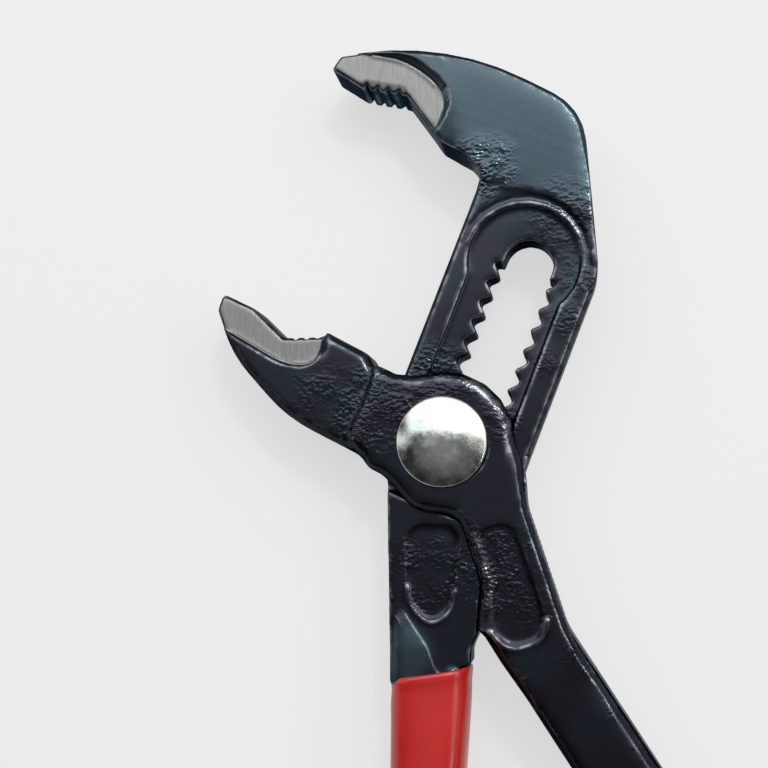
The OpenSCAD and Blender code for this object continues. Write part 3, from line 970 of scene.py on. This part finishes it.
# %% [markdown]
# ### Shape of a grip
#
# A grip is a sleeve with a wall, so its rings run up the inside, over the bead at the mouth,
# down the outside and round the closed tip. The dip line of the upper grip is slanted in
# plan, so the mouth's rings are skewed, and the skew fades out over the first few stations.

# %% Shape of a grip
grip_t = 14 * mm
wall = 1.5 * mm
slim_w = 12.6 * mm
taper = 40 * mm
station = 4 * mm
mouth_len = 8 * mm
tip_len = 8 * mm
tip_drawn = 9.0 * mm
tip_steps = 7
mouth_bead = (
    (0.9, 3.0, 1.0), (0.15, 2.2, 1.0), (0.0, 1.2, 1.0), (0.15, 0.45, 1.0), (0.5, 0.08, 1.0),
    (1.0, 0.0, 1.0), (1.6, 0.12, 0.95), (2.3, 0.36, 0.9), (3.2, 0.40, 0.75), (5.0, 0.30, 0.4))


def grip_rings(path, start, end, width, skew):
    """Ring places of a grip: up the inside, over the bead, down the outside and the tip."""
    def wide(u):
        return width + (min(width, slim_w) - width) * min(1, max(0, (u - start) / taper))
    lining = [
        ring_at(path, u, wide(u) - 2 * wall, grip_t - 3.8 * mm)
        for u in (end - 3 * mm, (start + end) / 2, start + 4 * mm)]
    bead = [
        ring_at(path, start + along * mm, width - drawn * mm, grip_t - drawn * mm, skew * fade)
        for along, drawn, fade in mouth_bead]
    length = end - tip_len - start - mouth_len
    count = round(length / station)
    outside = []
    for k in range(count + 1):
        u = start + mouth_len + length * k / count
        outside.append(ring_at(path, u, wide(u) - 0.1 * mm, grip_t - 0.1 * mm))
    tip = []
    for k in range(1, tip_steps + 1):
        a = math.radians(85) * k / tip_steps
        u = end - tip_len + tip_len * math.sin(a)
        drawn = tip_drawn * (1 - math.cos(a))
        tip.append(ring_at(path, u, wide(u) - drawn, grip_t - drawn))
    return lining + bead + outside + tip


print("grip", round(grip_t * 1000, 1), "mm thick with a wall of", round(wall * 1000, 1), "mm")

# %% Grips
def dipped_grip(name, node, body, path, start, width, skew):
    """A grip as long as the frame's own."""
    low_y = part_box(node)[0].y
    end = start
    while handle_frame(path, end)[1] > low_y + 0.5 * mm:
        end += 0.5 * mm
    rings = grip_rings(path, start, end, width, skew)
    grip = finished(name, sleeve(rings), body, node)
    soft = grip.modifiers.new("soft_skin", "SUBSURF")
    soft.levels = 1
    soft.render_levels = 1
    return grip


upper_grip = dipped_grip(
    "upper_grip_skin", "upper_grip", "upper_lever", upper_path, upper_start, 15.3 * mm,
    math.radians(11))
lower_grip = dipped_grip(
    "lower_grip_skin", "lower_grip", "lower_lever", lower_path, lower_start, 14.2 * mm, 0)

# %% [markdown]
# ## Finishes
#
# Each finish is a node material on Object coordinates, so a pattern stays on the steel when
# the tool moves. A few more helpers make patterns, layers and bumps of nodes.

# %% Patterns and ramps
def grains(material, coords, size, detail, rough=0.55):
    """Noise whose lumps are about this size, in metres."""
    made = node(material, "ShaderNodeTexNoise", Scale=1 / size, Detail=detail, Roughness=rough)
    link(material, coords, made.inputs["Vector"])
    return made.outputs["Fac"]


def ramp(material, source, low, high, dark, light):
    """A colour between dark and light as the source goes from low to high."""
    made = node(material, "ShaderNodeValToRGB")
    made.color_ramp.elements[0].position = low
    made.color_ramp.elements[0].color = (*dark, 1)
    made.color_ramp.elements[1].position = high
    made.color_ramp.elements[1].color = (*light, 1)
    link(material, source, made.inputs["Fac"])
    return made.outputs["Color"]


def span(material, source, low, high, to_low, to_high):
    """A value mapped softly from one range to another, clamped."""
    made = node(material, "ShaderNodeMapRange", interpolation_type="SMOOTHSTEP")
    ends = (("From Min", low), ("From Max", high), ("To Min", to_low), ("To Max", to_high))
    for key, value in ends:
        made.inputs[key].default_value = value
    link(material, source, made.inputs["Value"])
    return made.outputs["Result"]


# %% Layers and bumps
def mixed(material, blend_type, factor, below, above):
    """Two colours laid over each other; the factor and the upper one may be plain values."""
    made = node(material, "ShaderNodeMix", data_type="RGBA", blend_type=blend_type)
    for key, value in (("Factor", factor), ("A", below), ("B", above)):
        if isinstance(value, bpy.types.NodeSocket):
            link(material, value, made.inputs[key])
        else:
            made.inputs[key].default_value = value
    return made.outputs["Result"]


def bump(material, height, distance, strength, below=None):
    """Raises the surface by a height pattern, on top of another bump if one is given."""
    made = node(material, "ShaderNodeBump", Distance=distance, Strength=strength)
    link(material, height, made.inputs["Height"])
    if below is not None:
        link(material, below, made.inputs["Normal"])
    return made.outputs["Normal"]


# %% [markdown]
# ### Black forged steel
#
# The levers are blackened: a thin dark oxide with a satin gloss and a blue-green cast. Close
# to the neck and the boss the forging scale left a leathery crackle, while the head's face is
# nearly smooth. No single pattern knows where the scale stayed, so a list of soft round spots
# says it, in millimetres on the tool, each with how rough it is.

# %% Where the scale lies
scaly_spots = (
    (7.5, 52.5, 2, 8, 0.85), (23, 42, 2, 10, 0.5), (25, 31, 1, 5, 0.6), (-3, -24, 4, 11, 0.45),
    (-2, 10, 5, 11, 0.6), (-13, 6, 5, 11, 0.6), (10, 4, 2, 6, 0.5), (-23, 10, 2, 8, 0.35),
    (9, -23, 4, 12, 0.6), (16, -30, 2, 6, 0.4), (25, -38, 1, 7, 0.4),
    (22.5, 23, 1, 5, 0.35), (19, 15, 1, 4, 0.3), (31, -46, 1, 4, 0.4), (36, -54, 1, 4, 0.35))


def near(material, coords, x, y, inner, outer):
    """1 close to a place on the tool, fading to 0 at the outer distance, in millimetres."""
    flat = node(material, "ShaderNodeVectorMath", operation="MULTIPLY")
    flat.inputs[1].default_value = (1000, 1000, 0)
    link(material, coords, flat.inputs[0])
    reach = node(material, "ShaderNodeVectorMath", operation="DISTANCE")
    reach.inputs[1].default_value = (x, y, 0)
    link(material, flat.outputs[0], reach.inputs[0])
    return span(material, reach.outputs["Value"], inner, outer, 1, 0)


black, oxide = finish("black_forged_steel")
place = node(black, "ShaderNodeTexCoord").outputs["Object"]
scaly = 0.0
for x, y, inner, outer, rough in scaly_spots:
    spot = math_node(black, "MULTIPLY", near(black, place, x, y, inner, outer), rough)
    scaly = math_node(black, "MAXIMUM", spot, scaly)
broken = span(black, grains(black, place, 0.0045, 1), 0.36, 0.58, 0.4, 1)
scaly = math_node(black, "MULTIPLY", scaly, broken)
print(black.name, len(scaly_spots), "scaly spots")

# %% [markdown]
# The crackle itself is a noise with cells in it, drawn out a little across the tool. The
# colour starts as violet and blue-green patches. The head and the facet above the left grip
# get a lighter blue-green base, a painted sheen for the softbox light they mirror, and a fine
# grain breaks everything up.

# %% Scale, grain and colour
wrinkle_size = 0.00062
cell_size = 0.00068
drawn_out = node(black, "ShaderNodeMapping")
drawn_out.inputs["Scale"].default_value = (0.7, 1, 1)
link(black, place, drawn_out.inputs["Vector"])
wrinkle = grains(black, drawn_out.outputs["Vector"], wrinkle_size, 1.5, 0.5)
cells = node(black, "ShaderNodeTexVoronoi", feature="F1", Scale=1 / cell_size)
link(black, drawn_out.outputs["Vector"], cells.inputs["Vector"])
raised = math_node(black, "MULTIPLY", cells.outputs["Distance"], 0.5)
crackle = math_node(black, "ADD", wrinkle, raised)
grain = grains(black, place, 0.00035, 3)

cloud = grains(black, place, 0.016, 2)
place_axes = node(black, "ShaderNodeSeparateXYZ")
link(black, place, place_axes.inputs[0])
wander = math_node(black, "MULTIPLY", cloud, 0.012)
along = math_node(black, "ADD", place_axes.outputs["Y"], wander)
# Painted sheen: a lighter blue-green base on the head and the facet stands for the softbox light.
on_head = span(black, along, 0.044, 0.060, 0, 1)
on_facet = near(black, place, -7, -38, 3.5, 6.5)
sheen_share = math_node(black, "MAXIMUM", on_head, on_facet)
patches = ramp(
    black, grains(black, place, 0.010, 2), 0.42, 0.58,
    (0.030, 0.027, 0.037), (0.026, 0.034, 0.042))
painted_sheen = mixed(black, "MIX", sheen_share, patches, (0.046, 0.067, 0.080, 1))
speckle = ramp(black, grain, 0.3, 0.7, (0.86, 0.88, 0.90), (1.12, 1.10, 1.08))
grain_and_sheen = mixed(black, "MULTIPLY", 1.0, painted_sheen, speckle)
print(black.name, len(black.node_tree.nodes), "nodes with scale and colour")

# %% [markdown]
# Along the edges the black is rubbed thin and lighter steel shows through, in patches. The
# mark stored on the skin says where an edge is, and a noise decides where it has worn. On the
# upper right of the boss's rim the same lighter steel is a painted highlight, where it faces
# the lamps. Scaly steel is a little shinier than the smooth faces, and its crackle is raised
# by a bump.

# %% Worn edges
stands_out = node(black, "ShaderNodeAttribute", attribute_name="edge_wear_and_glint").outputs["Fac"]
on_edge = span(black, stands_out, 0.018, 0.07, 0, 1)
in_patches = span(black, grains(black, place, 0.0026, 3), 0.40, 0.62, 0.15, 1)
by_shank = span(black, near(black, place, -1, 17, 3, 9), 0, 1, 1, 0.2)
rubbed_and_glint = math_node(black, "MULTIPLY", math_node(black, "MULTIPLY", on_edge, in_patches), by_shank)
# The lighter steel is worn edges, and on the upper right of the boss's rim a painted highlight.
wear_and_painted_light = mixed(black, "MIX", rubbed_and_glint, grain_and_sheen, (0.150, 0.160, 0.172, 1))
link(black, wear_and_painted_light, oxide.inputs["Base Color"])
oxide.inputs["Metallic"].default_value = 1.0
oxide.inputs["Specular Tint"].default_value = (0.22, 0.245, 0.27, 1)
link(black, span(black, scaly, 0, 0.6, 0.29, 0.165), oxide.inputs["Roughness"])
forged = bump(black, math_node(black, "MULTIPLY", crackle, scaly), 0.00036, 1.0)
link(black, bump(black, grain, 0.00002, 0.4, forged), oxide.inputs["Normal"])
print(black.name, len(black.node_tree.nodes), "nodes with wear")

# %% [markdown]
# ### Ground jaw sides
#
# The ground faces belong to the same pieces, so their finish is a second shader in the same
# material: brushed grey steel with fine lines across the jaw. It takes over where the mark
# from grinding says so, and only on faces that look up or down, so the teeth stay black.

# %% Ground jaw sides
face_axes = node(black, "ShaderNodeSeparateXYZ")
link(black, node(black, "ShaderNodeNewGeometry").outputs["Normal"], face_axes.inputs[0])
upright = math_node(black, "ABSOLUTE", face_axes.outputs["Z"])
flat_on = span(black, upright, 0.86, 0.95, 0, 1)
marked = node(black, "ShaderNodeAttribute", attribute_name="ground").outputs["Fac"]
ground = math_node(black, "MULTIPLY", flat_on, span(black, marked, 0.45, 0.55, 0, 1))

stretch = node(black, "ShaderNodeMapping")
stretch.inputs["Rotation"].default_value = (0, 0, math.radians(-8))
stretch.inputs["Scale"].default_value = (1, 0.06, 1)
link(black, place, stretch.inputs["Vector"])
brushed = grains(black, stretch.outputs["Vector"], 0.00022, 4, 0.6)
steel = node(black, "ShaderNodeBsdfPrincipled")
lines = ramp(black, brushed, 0.3, 0.7, (0.140, 0.145, 0.141), (0.225, 0.228, 0.222))
link(black, lines, steel.inputs["Base Color"])
steel.inputs["Metallic"].default_value = 0.6
steel.inputs["Roughness"].default_value = 0.42
link(black, bump(black, brushed, 0.00003, 0.35), steel.inputs["Normal"])

both_shaders(black, ground, oxide, steel)
for piece in (upper_piece, lower_piece):
    piece.data.materials.append(black)
print(black.name, len(black.node_tree.nodes), "nodes")

# %% [markdown]
# ### Polished rivet
#
# The rivet is bare polished steel with stains from use: a mottle that makes it darker and
# less glossy in places, and a faint green or brown tint. The dome's light and dark halves
# come from the softbox and the ceiling, not from its colour.

# %% Polished rivet
bright, shine = finish("polished_rivet_steel")
place = node(bright, "ShaderNodeTexCoord").outputs["Object"]
mottle = grains(bright, place, 0.0022, 4, 0.6)
greys = ramp(bright, mottle, 0.3, 0.7, (0.33, 0.365, 0.345), (0.56, 0.57, 0.545))
stain = ramp(
    bright, grains(bright, place, 0.0030, 1), 0.40, 0.60, (0.92, 1.0, 0.95), (1.0, 0.97, 0.945))
link(bright, mixed(bright, "MULTIPLY", 1.0, greys, stain), shine.inputs["Base Color"])
shine.inputs["Metallic"].default_value = 1.0
link(bright, span(bright, mottle, 0.3, 0.7, 0.16, 0.30), shine.inputs["Roughness"])
link(bright, bump(bright, mottle, 0.0002, 0.20), shine.inputs["Normal"])
rivet_piece.data.materials.append(bright)
print(bright.name, len(bright.node_tree.nodes), "nodes")

# %% [markdown]
# ### Core steel
#
# The core is machined and then rubbed by the slot, so it is a greyer and duller steel than
# the rivet. It is a node of the frame, so the finish goes into the node's own material slots.

# %% Core steel
worn, block = finish("worn_core_steel")
place = node(worn, "ShaderNodeTexCoord").outputs["Object"]
scuffs = grains(worn, place, 0.0012, 4, 0.6)
greys = ramp(worn, scuffs, 0.3, 0.7, (0.16, 0.165, 0.17), (0.34, 0.345, 0.35))
link(worn, greys, block.inputs["Base Color"])
block.inputs["Metallic"].default_value = 1.0
link(worn, span(worn, scuffs, 0.3, 0.7, 0.30, 0.48), block.inputs["Roughness"])
link(worn, bump(worn, scuffs, 0.0001, 0.2), block.inputs["Normal"])
core_slots = frame["nodes"]["locking_core"].material_slots
for core_slot in core_slots:
    core_slot.material = worn
print(worn.name, "in", len(core_slots), "slots")

# %% [markdown]
# ### Red dipped plastic
#
# Dipped plastic is glossy but never quite even: the red is deeper where the coat is thicker,
# the gloss changes with it, and the surface has the faint orange peel of a poured coat.

# %% Red dipped plastic
red, coat = finish("red_dipped_plastic")
place = node(red, "ShaderNodeTexCoord").outputs["Object"]
thickness = grains(red, place, 0.008, 3)
reds = ramp(red, thickness, 0.3, 0.7, (0.340, 0.0115, 0.0087), (0.383, 0.0143, 0.0108))
link(red, reds, coat.inputs["Base Color"])
link(red, span(red, thickness, 0.3, 0.7, 0.24, 0.34), coat.inputs["Roughness"])
orange_peel = grains(red, place, 0.0007, 2)
link(red, bump(red, orange_peel, 0.00005, 0.12), coat.inputs["Normal"])
coat.inputs["Specular IOR Level"].default_value = 0.5
for piece in (upper_grip, lower_grip):
    piece.data.materials.append(red)
print(red.name, len(red.node_tree.nodes), "nodes")
